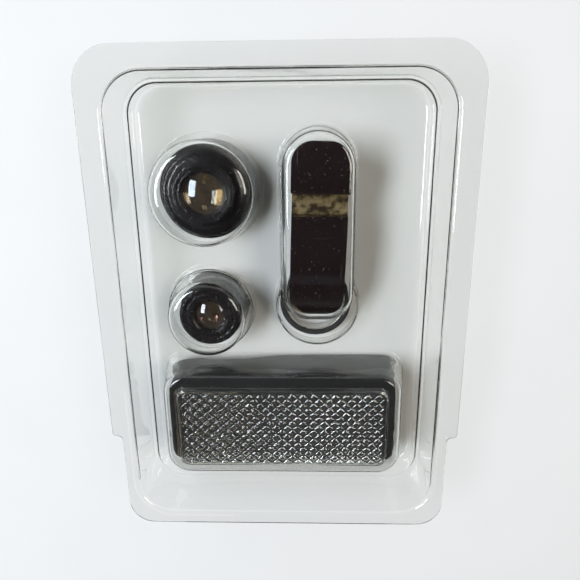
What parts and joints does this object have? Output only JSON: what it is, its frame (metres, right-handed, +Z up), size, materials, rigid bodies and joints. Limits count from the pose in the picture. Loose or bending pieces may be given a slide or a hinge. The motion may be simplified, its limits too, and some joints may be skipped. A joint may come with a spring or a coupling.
{
  "type": "trial lens set",
  "caption": "Clip-on phone lens set in a clear blister tray: fisheye lens, screw-apart wide and macro lens, sprung clip with a threaded ring, and a folded pouch.",
  "frame": {"origin": "centre of the flange's outline, on the plane the tray's floor rests on", "axes": "+Z up towards the flange and the tops of the pockets, +Y along the tray towards the wide end of the flange, +X to the right"},
  "size_m": [0.0886, 0.1204, 0.0205],
  "materials": {
    "clear_plastic": "clear thermoformed sheet, glossy, with bright bends",
    "lens_black": "satin black anodised aluminium",
    "baffle_black": "matt black light baffle",
    "glass": "polished, coated optical glass",
    "clip_plastic": "gloss black moulding with fine handling scratches",
    "pad_rubber": "soft matt rubber",
    "ring_metal": "black anodised threaded insert",
    "steel": "bright spring steel",
    "pouch_fabric": "black microfibre",
    "cord": "black braided cord"
  },
  "bodies": {
    "tray": {"blister_tray": "clear_plastic"},
    "fisheye_lens": {"fisheye_barrel": "lens_black", "fisheye_front_ring": "lens_black", "fisheye_front_element": "glass", "fisheye_spacer": "baffle_black", "fisheye_middle_element": "glass", "fisheye_rear_element": "glass", "fisheye_rear_retainer": "lens_black"},
    "macro_lens": {"macro_barrel": "lens_black", "macro_element": "glass", "macro_retainer": "lens_black"},
    "wide_lens": {"wide_barrel": "lens_black", "wide_front_element": "glass", "wide_retainer": "lens_black"},
    "clip_upper": {"clip_upper_jaw": "clip_plastic", "clip_jaw_pad": "pad_rubber", "clip_pivot_pin": "steel", "clip_torsion_spring": "steel"},
    "clip_lower": {"clip_lower_jaw": "clip_plastic", "clip_lens_ring": "ring_metal", "clip_ring_pad": "pad_rubber"},
    "pouch": {"pouch_body": "pouch_fabric", "pouch_drawcord": "cord"}
  },
  "joints": [
    {"name": "fisheye_lift_out", "type": "slide", "parent": "tray", "child": "fisheye_lens", "axis": [0, 0, -1], "range_m": [0, 0.03]},
    {"name": "macro_lift_out", "type": "slide", "parent": "tray", "child": "macro_lens", "axis": [0, 0, -1], "range_m": [0, 0.03]},
    {"name": "wide_unscrew", "type": "slide", "parent": "macro_lens", "child": "wide_lens", "axis": [0, 0, -1], "range_m": [0, 0.008]},
    {"name": "clip_lift_out", "type": "slide", "parent": "tray", "child": "clip_upper", "axis": [0, 0, -1], "range_m": [0, 0.03]},
    {"name": "clip_opening", "type": "hinge", "parent": "clip_upper", "child": "clip_lower", "pos_m": [0.00925, 0.02514, 0.0082], "axis": [0.9995, -0.0314, 0], "range_deg": [0, 28], "deforming": ["clip_torsion_spring"]},
    {"name": "pouch_lift_out", "type": "slide", "parent": "tray", "child": "pouch", "axis": [0, 0, -1], "range_m": [0, 0.03]}
  ]
}
